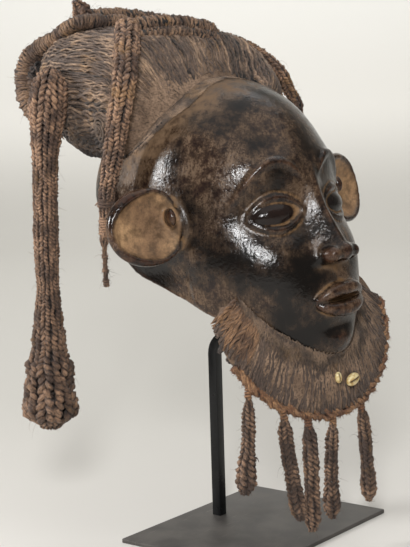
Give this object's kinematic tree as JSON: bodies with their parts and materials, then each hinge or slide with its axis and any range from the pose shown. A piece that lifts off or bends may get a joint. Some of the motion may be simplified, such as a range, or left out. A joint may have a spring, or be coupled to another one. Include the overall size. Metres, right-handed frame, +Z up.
{
  "type": "bamileke mask on a stand",
  "caption": "Carved dark wood helmet mask with large dish ears, plaited fibre coiffure, braids and beard, held on a square steel bar over a flat plate.",
  "frame": {"origin": "middle of the base plate's underside", "axes": "+Z up, the mask's face towards -Y and turned a little to +X, the mask's left ear towards +X"},
  "size_m": [0.3338, 0.352, 0.5252],
  "materials": {
    "steel_plate": "dark grey worn steel",
    "black_steel": "glossy black",
    "felt": "dark felt",
    "dark_wood": "oiled and worn patina, glossy on the high places",
    "dark_fibre": "plaited plant fibre, dusty",
    "rust_fibre": "twisted plant fibre, rust brown",
    "shell": "yellowed cowrie shell"
  },
  "bodies": {
    "root": {"stand_plate": "steel_plate", "stand_post": "black_steel", "stand_pad": "felt", "carved_head": "dark_wood", "coiffure": "dark_fibre", "front_plait": "dark_fibre", "loop_plait": "dark_fibre", "crown_plait": "dark_fibre", "crown_tuft": "dark_fibre", "long_plait": "dark_fibre", "temple_plait_right": "dark_fibre", "temple_plait_left": "dark_fibre", "beard": "dark_fibre", "beard_binding": "rust_fibre", "beard_tassel_1": "dark_fibre", "beard_tassel_2": "dark_fibre", "beard_tassel_3": "dark_fibre", "beard_tassel_4": "dark_fibre", "beard_tassel_5": "dark_fibre", "cowrie_1": "shell", "cowrie_2": "shell"}
  },
  "joints": []
}
